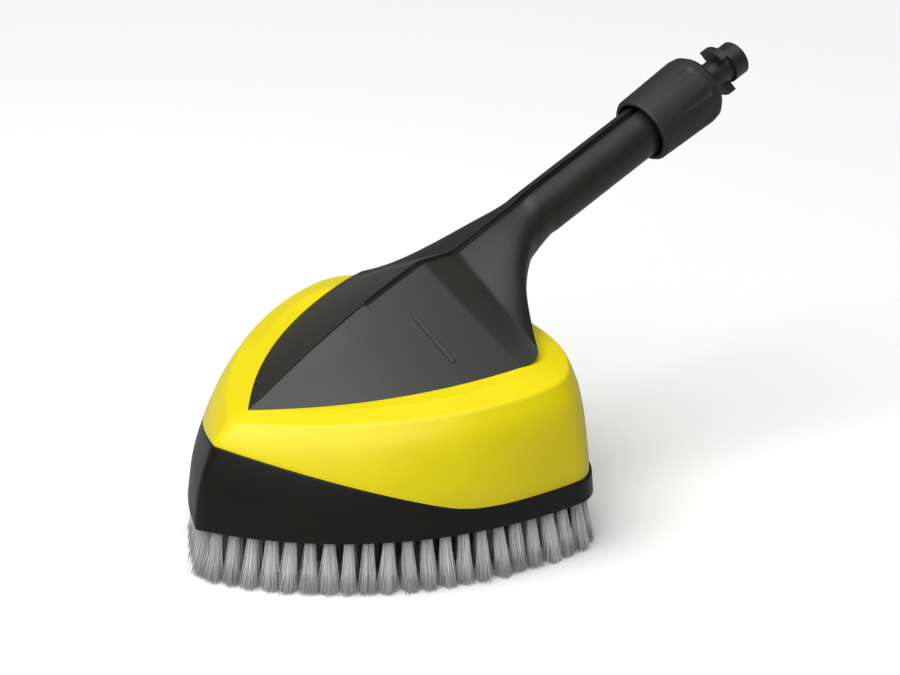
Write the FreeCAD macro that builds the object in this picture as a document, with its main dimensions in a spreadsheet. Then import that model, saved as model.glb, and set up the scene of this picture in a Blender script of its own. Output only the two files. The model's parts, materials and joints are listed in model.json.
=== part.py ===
import FreeCAD, Part
import Sketcher

import math
import os

# Wash brush for a pressure washer. Millimetres, +Z up, nose at -X, handle end at +X.
# The origin is the middle of the overall box, on the floor that the bristles stand on.

V = FreeCAD.Vector
doc = FreeCAD.newDocument("wash_brush")

# ---------------------------------------------------------------- driving dimensions
DIMENSIONS = {
    # whole object
    "nose_x": -211.8, "skirt_half_width": 116.0, "skirt_edge_height": 32.2,
    "wall": 2.6, "fit_gap": 0.3,
    # handle axis: a point on it (rear face of the nut), its slope and the round grip
    "grip_x": 126.9, "grip_z": 187.7, "grip_slope": 20.06, "grip_radius": 15.8,
    "grip_bore": 10.9, "grip_start": -86.0, "grip_end": 14.0,
    # cover ridge: nose tip, the two bends, and the rear corners of the cover
    "cover_tip_x": -173.6, "cover_tip_z": 93.4, "bend_front_x": -47.1, "bend_front_z": 149.7,
    "bend_rear_x": -20.9, "bend_rear_z": 149.1, "ridge_rise": 4.2,
    "corner_x": -30.8, "corner_y": 84.5, "corner_z": 109.8, "cover_edge_bow": 14.5,
    "groove_front_x": -88.1, "groove_width": 4.8, "groove_depth": 2.8,
    # union nut, measured along the handle axis from its rear face
    "nut_length": 52.2, "nut_rear_radius": 21.0, "nut_front_radius": 22.4,
    "nut_bore": 18.2, "nut_mouth": 17.4, "nut_flange_bore": 16.15,
    "nut_flange_start": 8.0, "nut_flange_end": 12.0, "flute_count": 8, "flute_radius": 8.0,
    "flute_depth": 1.2,
    # bayonet spigot
    "barrel_radius": 15.8, "barrel_end": 43.0, "spigot_neck_radius": 8.9,
    "lug_radius": 15.5, "lug_start": 67.0, "lug_end": 72.5, "lug_half_angle": 37.0,
    "tip_radius": 11.1, "tip_start": 75.0, "tip_end": 86.3, "water_bore": 3.6, "shank_radius": 9.4,
    "flange_radius": 12.0, "flange_start": -14.0, "flange_length": 3.0,
    "ring_start": 39.0, "ring_end": 40.6, "ring_radius": 17.4, "ring_inner": 14.2,
    # bristles and the plate that carries them
    "plate_bottom": 35.0, "plate_thickness": 7.0, "plate_draft": 1.4, "tuft_depth": 4.0,
    "tuft_root_radius": 2.5, "tuft_tip_radius": 3.6, "tuft_pitch": 10.6, "row_spacing": 13.0,
    "tuft_apart": 7.6, "outer_root_inset": 9.0, "outer_tip_inset": 4.4, "inner_splay": 0.8,
    # spray gear
    "bar_x": -56.0, "bar_half_length": 62.0, "bar_radius": 8.0,
    "slot_half_width": 13.0, "slot_half_length": 58.0, "nozzle_spacing": 42.0,
    "pipe_radius": 5.0, "pipe_bore": 3.0, "pipe_bend": 26.0, "pipe_x": -56.0,
    # fasteners
    "screw_radius": 1.75, "screw_head_radius": 3.5, "screw_head_height": 2.2,
}

sheet = doc.addObject("Spreadsheet::Sheet", "Dimensions")
for row, (alias, value) in enumerate(DIMENSIONS.items(), start=1):
    sheet.set("A%d" % row, alias)
    sheet.set("B%d" % row, str(value))
    sheet.setAlias("B%d" % row, alias)
doc.recompute()


def dim(alias):
    """One driving dimension, read from the sheet."""
    return float(sheet.get(alias))


nodes = []


def keep(obj, label):
    """Name a finished sub-part and put it on the list of files to write."""
    obj.Label = label
    nodes.append(obj)
    return obj


def feature(label, shape, placement=None):
    """A sub-part whose shape no standard feature makes."""
    obj = doc.addObject("Part::Feature", label + "_shape")
    obj.Shape = shape
    if placement is not None:
        obj.Placement = placement
    return keep(obj, label)


# ---------------------------------------------------------------- plan outlines
def bezier(*poles):
    curve = Part.BezierCurve()
    curve.setPoles(list(poles))
    return curve.toShape()


def outline(nose_x, wide_x, half_width, rear_x, nose_angle, nose_z, slope=0.0, inset=0.0):
    """Closed drop-shaped wire: a pointed nose at -X, widest at wide_x, round at the rear.
    It lies in a plane through the nose that rises by slope towards +X."""
    angle = math.radians(nose_angle)
    nose_x = nose_x + inset / math.sin(angle)
    half_width = half_width - inset
    rear_x = rear_x - inset
    reach = wide_x - nose_x
    tail = rear_x - wide_x

    def at(x, y):
        return V(x, y, nose_z + slope * (x - nose_x))

    def side(sign):
        front = bezier(at(nose_x, 0),
                       at(nose_x + 0.583 * reach * math.cos(angle),
                          sign * 0.583 * reach * math.sin(angle)),
                       at(wide_x - 0.273 * reach, sign * half_width),
                       at(wide_x, sign * half_width))
        rear = bezier(at(wide_x, sign * half_width),
                      at(wide_x + 0.507 * tail, sign * half_width),
                      at(rear_x, sign * 0.621 * half_width),
                      at(rear_x, 0))
        return front, rear

    near_front, near_rear = side(-1)
    far_front, far_rear = side(1)
    return Part.Wire([near_front, near_rear, far_rear, far_front])


NOSE = dim("nose_x")
NOSE_ANGLE = 64.9
WIDE = NOSE + 184.0
HALF = dim("skirt_half_width")
REAR = NOSE + 227.3
EDGE_Z = dim("skirt_edge_height")

# Casing sections from the skirt's edge up to the top bevel:
# nose x and z, slope of the plane, half width, widest x, rear x, nose half-angle.
LEVELS = [
    (NOSE, EDGE_Z, 0.0, HALF, WIDE, REAR, NOSE_ANGLE),
    (NOSE + 3.4, EDGE_Z + 21.8, 0.035, HALF - 1.6, WIDE - 3.0, REAR - 0.8, 63.5),
    (NOSE + 14.0, EDGE_Z + 46.2, 0.070, HALF - 6.6, WIDE - 8.0, REAR - 3.0, 60.5),
    (NOSE + 24.7, EDGE_Z + 57.4, 0.094, HALF - 12.4, WIDE - 11.4, REAR - 6.3, 58.6),
]
ROOF_TIP_X = dim("cover_tip_x")
ROOF_TIP_Z = dim("cover_tip_z")
ROOF_SLOPE = (dim("corner_z") - ROOF_TIP_Z) / (dim("corner_x") - ROOF_TIP_X)


def level_wire(index, inset=0.0, drop=0.0):
    nose_x, nose_z, slope, half_width, wide_x, rear_x, angle = LEVELS[index]
    lean = slope * inset / math.sin(math.radians(angle))
    return outline(nose_x, wide_x, half_width, rear_x, angle, nose_z + lean - drop,
                   slope, inset)


def casing_solid(inset, bottom_drop=0.0, top_drop=0.0):
    """Outer body of the brush head, moved inwards by inset."""
    wires = [level_wire(0, inset, bottom_drop), level_wire(1, inset),
             level_wire(2, inset), level_wire(3, inset, top_drop)]
    sides = Part.makeLoft(wires, True, False)
    lean = ROOF_SLOPE * inset
    roof_wire = outline(ROOF_TIP_X, WIDE - 30.0, HALF - 31.0, REAR - 22.0, 54.2,
                        ROOF_TIP_Z + lean - top_drop, ROOF_SLOPE, inset)
    roof = Part.makeLoft([wires[3], roof_wire], True, True)
    return sides.fuse(roof).removeSplitter()


def side_profile(points, low):
    """Solid under a side-view line: the line, dropped to z = low, across the whole width."""
    first, last = points[0], points[-1]
    start = [(first[0], low)] + list(points) + [(last[0], low)]
    corners = [V(x, -200, z) for x, z in start]
    face = Part.Face(Part.makePolygon(corners + corners[:1]))
    return face.extrude(V(0, 400, 0))


# Parting line between the black skirt and the yellow top shell, seen from the side.
PARTING = [(NOSE - 20, 90.0), (NOSE + 14.0, 78.4), (NOSE + 92.0, 51.4),
           (NOSE + 104.0, 47.6), (NOSE + 116.0, 45.6), (NOSE + 132.0, 44.8), (NOSE + 260, 44.8)]
under_parting = side_profile(PARTING, EDGE_Z - 10)

wall = dim("wall")
gap = dim("fit_gap")
plate_bottom = dim("plate_bottom")
plate_top = plate_bottom + dim("plate_thickness")
screw_r = dim("screw_radius")
grip_slope = math.radians(dim("grip_slope"))
GRIP = V(dim("grip_x"), 0, dim("grip_z"))
AXIS = V(math.cos(grip_slope), 0, math.sin(grip_slope))
along_grip = FreeCAD.Placement(GRIP, FreeCAD.Rotation(V(0, 1, 0), 90 - dim("grip_slope")))


def on_axis(distance):
    """The point on the handle axis at a distance from the nut's rear face."""
    return GRIP + AXIS * distance


def cylinder(radius, length, base, direction=V(0, 0, 1)):
    return Part.makeCylinder(radius, length, base, direction)


def screw(base, direction, length):
    """Pan-head screw: base is the underside of its head, direction is where it goes."""
    shank = cylinder(screw_r, length, base, direction)
    head = cylinder(dim("screw_head_radius"), dim("screw_head_height"), base, direction * -1)
    return shank.fuse(head)


def screw_holes(places, direction, length, clearance=0.12):
    return Part.makeCompound([
        cylinder(screw_r + clearance, length, base - direction, direction) for base in places])


# ---------------------------------------------------------------- fastener places
DECK_Z = plate_top + 0.4
DECK_TOP = DECK_Z + 2.4
BOSS_R = 4.6
HEAD_SEAT_Z = plate_bottom + 2.4


def wire_point(wire, distance):
    """Point on a closed wire at a distance along it from its first vertex."""
    for edge in wire.OrderedEdges:
        if distance <= edge.Length:
            if edge.Orientation == "Reversed":
                distance = edge.Length - distance
            return edge.valueAt(edge.getParameterByLength(distance))
        distance -= edge.Length
    return wire.OrderedVertexes[0].Point


def around(count, inset, height, turn):
    """Points spread evenly along the skirt outline, moved inwards by inset."""
    wire = skirt_outline(height, inset)
    step = wire.Length / count
    return [wire_point(wire, (turn + index) * step) for index in range(count)]


def skirt_outline(height, inset):
    return outline(NOSE, WIDE, HALF, REAR, NOSE_ANGLE, height, 0.0, inset)


plate_screw_places = around(7, 21.0, HEAD_SEAT_Z, 0.5)
shell_screw_places = around(6, 34.0, HEAD_SEAT_Z, 0.5)
PLATE_SCREW_LENGTH = 14.0
SHELL_SCREW_LENGTH = 20.0
UP = V(0, 0, 1)
BAR = V(dim("bar_x"), 0, DECK_TOP + 0.2 + dim("bar_radius"))
nozzle_ys = [-dim("nozzle_spacing"), 0.0, dim("nozzle_spacing")]
clamp_ys = [-0.5 * dim("nozzle_spacing"), 0.5 * dim("nozzle_spacing")]
CLAMP_FOOT_X = dim("bar_radius") + 6.2
CLAMP_SEAT_Z = DECK_TOP + 5.0
clamp_screw_places = [V(BAR.x + side * CLAMP_FOOT_X, y, CLAMP_SEAT_Z + 2.2)
                      for y in clamp_ys for side in (-1, 1)]

# ---------------------------------------------------------------- skirt (black base)
skirt_wall = casing_solid(0.0).cut(casing_solid(wall, bottom_drop=1.0, top_drop=wall))
skirt_wall = skirt_wall.common(under_parting)
deck = Part.Face(skirt_outline(DECK_Z, wall - 0.5)).extrude(V(0, 0, DECK_TOP - DECK_Z))
bosses = [cylinder(BOSS_R, PLATE_SCREW_LENGTH - 5.0, V(p.x, p.y, DECK_Z))
          for p in plate_screw_places]
bosses += [cylinder(3.6, CLAMP_SEAT_Z - DECK_Z, V(p.x, p.y, DECK_Z)) for p in clamp_screw_places]
skirt = skirt_wall.multiFuse([deck] + bosses)
skirt = skirt.cut(Part.makeCompound([cylinder(6.3, 6, V(BAR.x, y, DECK_Z - 1)) for y in nozzle_ys]))
skirt = skirt.cut(screw_holes(plate_screw_places, UP, PLATE_SCREW_LENGTH + 1.5))
skirt = skirt.cut(screw_holes(shell_screw_places, UP, SHELL_SCREW_LENGTH))
skirt = skirt.cut(screw_holes(clamp_screw_places, -UP, 9.0))
feature("base_skirt", skirt.removeSplitter())

# ---------------------------------------------------------------- brush plate and tufts
slot = Part.makeBox(2 * dim("slot_half_width"), 2 * dim("slot_half_length"), 40,
                    V(dim("bar_x") - dim("slot_half_width"), -dim("slot_half_length"),
                      plate_bottom - 10))
plate = Part.Face(skirt_outline(plate_bottom, wall + gap + dim("plate_draft")))
plate = plate.extrude(V(0, 0, dim("plate_thickness")))

tuft_rows = []
row = 0
while True:
    root_inset = dim("outer_root_inset") + row * dim("row_spacing")
    tip_inset = dim("outer_tip_inset") if row == 0 else root_inset - dim("inner_splay")
    if HALF - root_inset < 8.0:
        break
    tuft_rows.append((root_inset, tip_inset))
    row += 1

root_z = plate_bottom + dim("tuft_depth")
near_slot = FreeCAD.BoundBox(dim("bar_x") - dim("slot_half_width") - 5.5,
                             -dim("slot_half_length") - 5.5, -1,
                             dim("bar_x") + dim("slot_half_width") + 5.5,
                             dim("slot_half_length") + 5.5, 100)
placed_tufts = []


def apart(a, b, distance):
    return math.hypot(a.x - b.x, a.y - b.y) > distance


def tuft_row(root_inset, tip_inset):
    """Root and tip centres of one closed row of tufts."""
    root_wire = skirt_outline(root_z, root_inset)
    tip_wire = skirt_outline(0.0, tip_inset)
    count = max(int(root_wire.Length / dim("tuft_pitch")), 1)
    pairs = []
    for index in range(count):
        share = (index + 0.5) / count
        root = wire_point(root_wire, share * root_wire.Length)
        tip = wire_point(tip_wire, share * tip_wire.Length)
        clear = all(apart(root, p, 7.0) for p in plate_screw_places + shell_screw_places)
        clear = clear and all(apart(root, r, dim("tuft_apart")) and apart(tip, t, dim("tuft_apart"))
                              for r, t in placed_tufts)
        if clear and not near_slot.isInside(V(root.x, root.y, 10)):
            pairs.append((root, tip))
            placed_tufts.append((root, tip))
    return pairs


def tuft(root, tip, root_radius, tip_radius):
    """One tuft: round at the plate, a little wider at the floor, cut off level."""
    rings = []
    for centre, radius in ((root, root_radius), (tip, tip_radius)):
        rings.append(Part.Wire(Part.Circle(centre, V(0, 0, 1), radius).toShape()))
    return Part.makeLoft(rings, True, True)


tuft_places = [tuft_row(*insets) for insets in tuft_rows]
TUFT_CLEARANCE = 0.1
tuft_holes = Part.makeCompound([
    tuft(root, tip, dim("tuft_root_radius") + TUFT_CLEARANCE,
         dim("tuft_tip_radius") + TUFT_CLEARANCE)
    for pairs in tuft_places for root, tip in pairs])
head_seats = Part.makeCompound([
    cylinder(dim("screw_head_radius") + 0.2, 3.4, V(p.x, p.y, plate_bottom - 1))
    for p in plate_screw_places + shell_screw_places])
plate = plate.cut(slot).cut(tuft_holes).cut(head_seats)
plate = plate.cut(screw_holes(plate_screw_places + shell_screw_places, UP, 12.0))
feature("brush_plate", plate)
ROW_NAMES = ["outer", "second", "third", "fourth", "fifth", "sixth", "seventh", "eighth", "ninth"]
for name, pairs in zip(ROW_NAMES, tuft_places):
    tip_radius = dim("tuft_tip_radius") if name == "outer" else dim("tuft_tip_radius") - 0.3
    feature("tufts_" + name, Part.makeCompound([
        tuft(root, tip, dim("tuft_root_radius"), tip_radius) for root, tip in pairs]))

# ---------------------------------------------------------------- yellow top shell
def roof_height(x):
    """Height of the shell's top face, where the cover stands on it."""
    return ROOF_TIP_Z + ROOF_SLOPE * (x - ROOF_TIP_X)


cover_screw_places = []
for x, y in ((ROOF_TIP_X + 68.0, 21.0), (ROOF_TIP_X + 122.0, 46.0)):
    for side in (-1, 1):
        cover_screw_places.append(V(x, side * y, roof_height(x) - wall - 0.7))
COVER_SCREW_LENGTH = 13.0
shell_cavity = casing_solid(wall, bottom_drop=1.0, top_drop=wall)
shell = casing_solid(0.0).cut(shell_cavity)
posts = Part.makeCompound([cylinder(4.2, 80, V(p.x, p.y, DECK_TOP + gap))
                           for p in shell_screw_places])
shell = shell.cut(under_parting).fuse(posts.common(casing_solid(1.2)))
shell = shell.cut(cylinder(dim("pipe_radius") + 2.5, 30, V(dim("pipe_x"), 0, roof_height(0) - 20)))
shell = shell.cut(screw_holes(shell_screw_places, UP, SHELL_SCREW_LENGTH + 1.5))
shell = shell.cut(screw_holes(cover_screw_places, UP, 8.0))
feature("top_shell", shell.removeSplitter())

# ---------------------------------------------------------------- cover and handle halves
def ridge_height(x):
    """Height of the cover's ridge between its tip and the front bend."""
    span = dim("bend_front_x") - ROOF_TIP_X
    share = (x - ROOF_TIP_X) / span
    straight = ROOF_TIP_Z + share * (dim("bend_front_z") - ROOF_TIP_Z)
    return straight + 4 * dim("ridge_rise") * share * (1 - share)


def cover_solid(inset):
    """Gabled cover: a curved front facet and a flat rear facet on each side."""
    tip = V(ROOF_TIP_X + 1.6 * inset, 0, ROOF_TIP_Z - 0.1 * inset)
    bend_front = V(dim("bend_front_x"), 0, dim("bend_front_z") - 1.5 * inset)
    bend_rear = V(dim("bend_rear_x"), 0, dim("bend_rear_z") - 1.5 * inset)
    middle = (tip + bend_front) * 0.5
    ridge_middle = V(middle.x, 0, ridge_height(middle.x) - 1.5 * inset)
    ridge = Part.Arc(tip, ridge_middle, bend_front).toShape()
    faces = []
    floor_edges = []
    corners = []
    for sign in (-1, 1):
        corner = V(dim("corner_x") - 0.5 * inset, sign * (dim("corner_y") - 1.2 * inset),
                   dim("corner_z") - 0.1 * inset)
        chord = corner - tip
        outward = V(-chord.y, chord.x, 0).normalize() * sign
        bowed = (tip + corner) * 0.5 + outward * dim("cover_edge_bow")
        bowed.z = tip.z + (bowed.x - tip.x) * chord.z / chord.x
        edge = Part.Arc(tip, bowed, corner).toShape()
        front = Part.makeRuledSurface(ridge, edge)
        rear = Part.Face(Part.makePolygon([bend_front, bend_rear, corner, bend_front]))
        faces += [front, rear]
        floor_edges.append(edge)
        corners.append(corner)
    back_edge = Part.makeLine(corners[0], corners[1])
    floor = Part.Face(Part.Wire([floor_edges[0], back_edge, floor_edges[1]]))
    back = Part.Face(Part.makePolygon([corners[0], bend_rear, corners[1], corners[0]]))
    shell = Part.Shell(faces + [floor, back])
    shell.sewShape()
    solid = Part.Solid(shell)
    if solid.Volume < 0:
        solid.reverse()
    return solid


def neck_section(top, corner, drop, roundness):
    """Closed section of the neck: a top point, two side corners and a lower middle point.
    It is a triangle at roundness 0 and an ellipse at roundness 1."""
    middle = V(corner.x, 0, corner.z)
    bottom = middle + (middle - top) * drop
    circle = 0.5523

    def quarter(side, point):
        rise = point - middle
        reach = side - middle
        straight = [side + (point - side) * (1 / 3), side + (point - side) * (2 / 3)]
        rounded = [side + rise * circle, point + reach * circle]
        return [a * (1 - roundness) + b * roundness for a, b in zip(straight, rounded)]

    near = V(corner.x, -corner.y, corner.z)
    far = V(corner.x, corner.y, corner.z)
    near_up = quarter(near, top)
    far_up = quarter(far, top)
    near_down = quarter(near, bottom)
    far_down = quarter(far, bottom)
    return Part.Wire([
        bezier(near, near_up[0], near_up[1], top),
        bezier(top, far_up[1], far_up[0], far),
        bezier(far, far_down[0], far_down[1], bottom),
        bezier(bottom, near_down[1], near_down[0], near)])


# Neck sections: top point x and z, side corner x, y and z, share below the corner, roundness.
NECK = [
    (-20.9, 149.1, -30.8, 84.5, 109.8, -0.02, 0.0),
    (-7.0, 154.3, -17.5, 62.0, 120.0, 0.10, 0.25),
    (8.0, 159.8, 0.0, 38.0, 132.0, 0.35, 0.65),
    (26.0, 166.4, 22.0, 20.5, 144.3, 0.80, 0.95),
]


def neck_solid():
    sections = []
    for top_x, top_z, corner_x, corner_y, corner_z, drop, roundness in NECK:
        top = V(top_x, 0, top_z)
        corner = V(corner_x, corner_y, corner_z)
        sections.append(neck_section(top, corner, drop, roundness))
    # two equal sections, so the neck runs straight into the grip tube
    sections.append(grip_section(dim("grip_start") - 8))
    sections.append(grip_section(dim("grip_start")))
    return Part.makeLoft(sections, True, False)


def grip_section(distance):
    centre = on_axis(distance)
    radius = dim("grip_radius")
    top = centre + V(-math.sin(grip_slope), 0, math.cos(grip_slope)) * radius
    return neck_section(top, V(centre.x, radius, centre.z), 1.0, 1.0)


def groove_cutter():
    """Tool for the groove that runs along the ridge and the top of the handle."""
    depth = dim("groove_depth")
    up = V(-math.sin(grip_slope), 0, math.cos(grip_slope))
    high = 60.0
    end = on_axis(dim("grip_end") + 1) + up * (dim("grip_radius") - depth)
    start_x = dim("groove_front_x")
    lower = [V(start_x, 0, ridge_height(start_x) - depth),
             V((start_x + dim("bend_front_x")) / 2, 0,
               ridge_height((start_x + dim("bend_front_x")) / 2) - depth),
             V(dim("bend_front_x"), 0, dim("bend_front_z") - depth),
             V(dim("bend_rear_x"), 0, dim("bend_rear_z") - depth), end]
    outline_points = lower + [end + V(0, 0, high), lower[0] + V(0, 0, high)]
    face = Part.Face(Part.makePolygon(outline_points + outline_points[:1]))
    face.translate(V(0, -dim("groove_width") / 2, 0))
    return face.extrude(V(0, dim("groove_width"), 0))


grip_tube = Part.makeLoft([grip_section(dim("grip_start")), grip_section(dim("grip_end"))],
                          True, True)
handle = cover_solid(0.0).multiFuse([neck_solid(), grip_tube])
bore = cylinder(dim("grip_bore"), dim("grip_end") + 190, on_axis(-188), AXIS)
cavity = cover_solid(3.2)
flange_seat = cylinder(dim("flange_radius") + 0.2, dim("flange_length") + 0.2,
                       on_axis(dim("flange_start") - 0.1), AXIS)
cover_bosses = Part.makeCompound([
    cylinder(4.4, 22, V(p.x, p.y, roof_height(p.x + 5) + 0.1)) for p in cover_screw_places])
cover_bosses = cover_bosses.common(cover_solid(1.5))
DOWN_NORMAL = V(math.sin(grip_slope), 0, -math.cos(grip_slope))
HANDLE_SCREW_OFFSET = 8.9
HANDLE_SCREW_Y = 9.0
HANDLE_SCREW_LENGTH = 16.0
handle_screw_places = []
for distance in (-112.0, -74.0, -44.0):
    place = on_axis(distance) + DOWN_NORMAL * HANDLE_SCREW_OFFSET
    handle_screw_places.append(V(place.x, HANDLE_SCREW_Y, place.z))
SIDEWAYS = V(0, -1, 0)
handle_head_seats = Part.makeCompound([
    cylinder(dim("screw_head_radius") + 0.2, 40, place, -SIDEWAYS) for place in handle_screw_places])
handle = handle.cut(cavity).cut(bore).fuse(cover_bosses).cut(groove_cutter())
handle = handle.cut(flange_seat).cut(handle_head_seats)
handle = handle.cut(screw_holes(handle_screw_places, SIDEWAYS, HANDLE_SCREW_LENGTH + 1.5))
handle = handle.cut(screw_holes(cover_screw_places, UP, COVER_SCREW_LENGTH + 1.5))
far_half = Part.makeBox(600, 200, 400, V(-300, 0, 0))
near_half = Part.makeBox(600, 200, 400, V(-300, -200, 0))
feature("handle_shell_right", handle.common(far_half))
feature("handle_shell_left", handle.common(near_half))


# ---------------------------------------------------------------- turned parts
def origin_plane(body, role):
    for item in body.Origin.OriginFeatures:
        if item.Role == role:
            return item
    raise RuntimeError("no plane " + role)


def turned_body(label, profile):
    """Body turned about its own Z axis. The profile is a closed list of (radius, height)
    pairs, each a number or an expression of the sheet's aliases."""
    body = doc.addObject("PartDesign::Body", label + "_body")
    sketch = body.newObject("Sketcher::SketchObject", label + "_profile")
    sketch.AttachmentSupport = [(origin_plane(body, "XZ_Plane"), "")]
    sketch.MapMode = "FlatFace"
    points = [(value_of(radius), value_of(height)) for radius, height in profile]
    for index, (radius, height) in enumerate(points):
        next_radius, next_height = points[(index + 1) % len(points)]
        sketch.addGeometry(Part.LineSegment(V(radius, height, 0),
                                            V(next_radius, next_height, 0)))
    for index in range(len(points)):
        sketch.addConstraint(Sketcher.Constraint(
            "Coincident", index, 2, (index + 1) % len(points), 1))
    for index, (radius, height) in enumerate(profile):
        bind_point(sketch, index, "DistanceX", radius)
        bind_point(sketch, index, "DistanceY", height)
    turned = body.newObject("PartDesign::Revolution", label + "_turned")
    turned.Profile = sketch
    turned.ReferenceAxis = (sketch, ["V_Axis"])
    turned.Angle = 360
    doc.recompute()
    return body


def value_of(term):
    return float(term) if not isinstance(term, str) else number_from(term)


def number_from(expression):
    """Value of a sum or difference of aliases and numbers."""
    total = 0.0
    sign = 1.0
    for word in expression.split():
        if word == "-":
            sign = -1.0
        elif word == "+":
            sign = 1.0
        else:
            total += sign * (DIMENSIONS[word] if word in DIMENSIONS else float(word))
    return total


def bind_point(sketch, line, kind, term):
    """Place the start of a line, and tie its distance to the sheet where it has an alias."""
    value = value_of(term)
    if value == 0.0:
        axis = -2 if kind == "DistanceX" else -1
        sketch.addConstraint(Sketcher.Constraint("PointOnObject", line, 1, axis))
        return
    number = sketch.addConstraint(Sketcher.Constraint(kind, -1, 1, line, 1, value))
    if isinstance(term, str):
        words = ["Dimensions." + word if word in DIMENSIONS else word for word in term.split()]
        sketch.setExpression("Constraints[%d]" % number, " ".join(words))


# Union nut: two inner diameters with a flange between them, and a soft outer shape.
nut_blank = turned_body("nut_blank", [
    ("nut_bore", 0), ("nut_rear_radius - 1.2", 0), ("nut_rear_radius", 1.8),
    ("nut_front_radius", "nut_length - 8"), ("nut_front_radius - 0.7", "nut_length - 3.4"),
    ("nut_front_radius - 3.2", "nut_length"), ("nut_mouth", "nut_length"),
    ("nut_mouth", "nut_length - 3"), ("nut_bore", "nut_length - 4"),
    ("nut_bore", "nut_flange_end"), ("nut_flange_bore", "nut_flange_end"),
    ("nut_flange_bore", "nut_flange_start"), ("nut_bore", "nut_flange_start - 2")])


def flute(turn):
    """Round-ended tool for one flute, deepest near the nut's front."""
    radius = dim("flute_radius")
    deep_z = dim("nut_length") - 12.0
    fade_z = 12.0
    deep = V(dim("nut_front_radius") - dim("flute_depth") + radius, 0, deep_z)
    fade = V(dim("nut_rear_radius") + 0.3 + radius, 0, fade_z)
    tool = cylinder(radius, (deep - fade).Length, fade, deep - fade)
    tool = tool.fuse(Part.makeSphere(radius, deep))
    tool.rotate(V(0, 0, 0), V(0, 0, 1), turn)
    return tool


flute_step = 360.0 / dim("flute_count")
flute_tools = doc.addObject("Part::Feature", "flute_tools")
flute_tools.Shape = Part.makeCompound([
    flute((index + 0.5) * flute_step) for index in range(int(dim("flute_count")))])
nut = doc.addObject("Part::Cut", "nut_fluted")
nut.Base = nut_blank
nut.Tool = flute_tools
nut.Placement = along_grip
keep(nut, "coupling_nut")

# Ring that rides in the nut against its flange and meets the snap ring when the nut is out.
washer = turned_body("washer", [
    ("nut_flange_bore", "nut_flange_end + 0.3"), ("nut_bore - 0.4", "nut_flange_end + 0.3"),
    ("nut_bore - 0.4", "nut_flange_end + 1.8"), ("nut_flange_bore", "nut_flange_end + 1.8")])
washer.Placement = along_grip
keep(washer, "thrust_washer")

# Snap ring in the spigot's groove: the stop for the nut.
snap_ring = turned_body("snap_ring", [
    ("ring_inner + 0.1", "ring_start + 0.1"), ("ring_radius", "ring_start + 0.1"),
    ("ring_radius", "ring_end - 0.1"), ("ring_inner + 0.1", "ring_end - 0.1")])
snap_ring.Placement = along_grip
keep(snap_ring, "snap_ring")

# Bayonet spigot: shank in the handle, barrel that the nut slides on, neck, lugs and tip.
SHANK = 34.0
spigot_turned = turned_body("spigot_blank", [
    ("pipe_radius + 0.15", 0), ("shank_radius", 0), ("shank_radius", "flange_start + 34"),
    ("flange_radius", "flange_start + 34"),
    ("flange_radius", "flange_start + flange_length + 34"),
    ("shank_radius", "flange_start + flange_length + 34"),
    ("shank_radius", "grip_end + 34.2"), ("barrel_radius", "grip_end + 34.2"),
    ("barrel_radius", "ring_start + 34"), ("ring_inner", "ring_start + 34"),
    ("ring_inner", "ring_end + 34"), ("barrel_radius", "ring_end + 34"),
    ("barrel_radius", "barrel_end + 33"), ("barrel_radius - 1", "barrel_end + 34"),
    ("spigot_neck_radius", "barrel_end + 34"), ("spigot_neck_radius", "tip_start + 34"),
    ("tip_radius", "tip_start + 34"), ("tip_radius", "tip_end + 33.2"),
    ("tip_radius - 0.8", "tip_end + 34"), ("water_bore + 2.6", "tip_end + 34"),
    ("water_bore + 2.6", "tip_end + 26"), ("water_bore", "tip_end + 24"),
    ("water_bore", 14.0), ("pipe_radius + 0.15", 14.0), ("pipe_radius + 0.15", 7.0),
    ("pipe_radius + 2", 7.0), ("pipe_radius + 2", 4.0), ("pipe_radius + 0.15", 4.0)])


def bayonet_lug(turn):
    """One lug: a sector of a ring around the neck."""
    lug_height = dim("lug_end") - dim("lug_start")
    angle = 2 * dim("lug_half_angle")
    sector = Part.makeCylinder(dim("lug_radius"), lug_height, V(0, 0, dim("lug_start") + SHANK),
                               V(0, 0, 1), angle)
    sector.rotate(V(0, 0, 0), V(0, 0, 1), turn - dim("lug_half_angle"))
    inner = cylinder(dim("spigot_neck_radius") - 0.5, lug_height,
                     V(0, 0, dim("lug_start") + SHANK))
    return sector.cut(inner)


lugs = doc.addObject("Part::Feature", "spigot_lugs")
lugs.Shape = Part.makeCompound([bayonet_lug(0), bayonet_lug(180)])
neck_slit = doc.addObject("Part::Box", "neck_slit")
neck_slit.Length = 4.0
neck_slit.Width = 30.0
neck_slit.Height = 1.6
neck_slit.Placement = FreeCAD.Placement(V(-dim("spigot_neck_radius"), -15, 57.5 + SHANK),
                                        FreeCAD.Rotation())
spigot_fused = doc.addObject("Part::MultiFuse", "spigot_fused")
spigot_fused.Shapes = [spigot_turned, lugs]
spigot = doc.addObject("Part::Cut", "spigot_cut")
spigot.Base = spigot_fused
spigot.Tool = neck_slit
spigot.Placement = FreeCAD.Placement(on_axis(-SHANK), along_grip.Rotation)
keep(spigot, "bayonet_spigot")


def seal_ring(name, centre_radius, thickness, placement):
    ring = doc.addObject("Part::Torus", name + "_torus")
    ring.Radius1 = centre_radius
    ring.Radius2 = thickness
    ring.Placement = placement
    return ring


spigot_seal = seal_ring("spigot_seal", dim("pipe_radius") + 1.02, 0.95,
                        FreeCAD.Placement(on_axis(5.5 - SHANK), along_grip.Rotation))
keep(spigot_seal, "spigot_seal")

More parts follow.
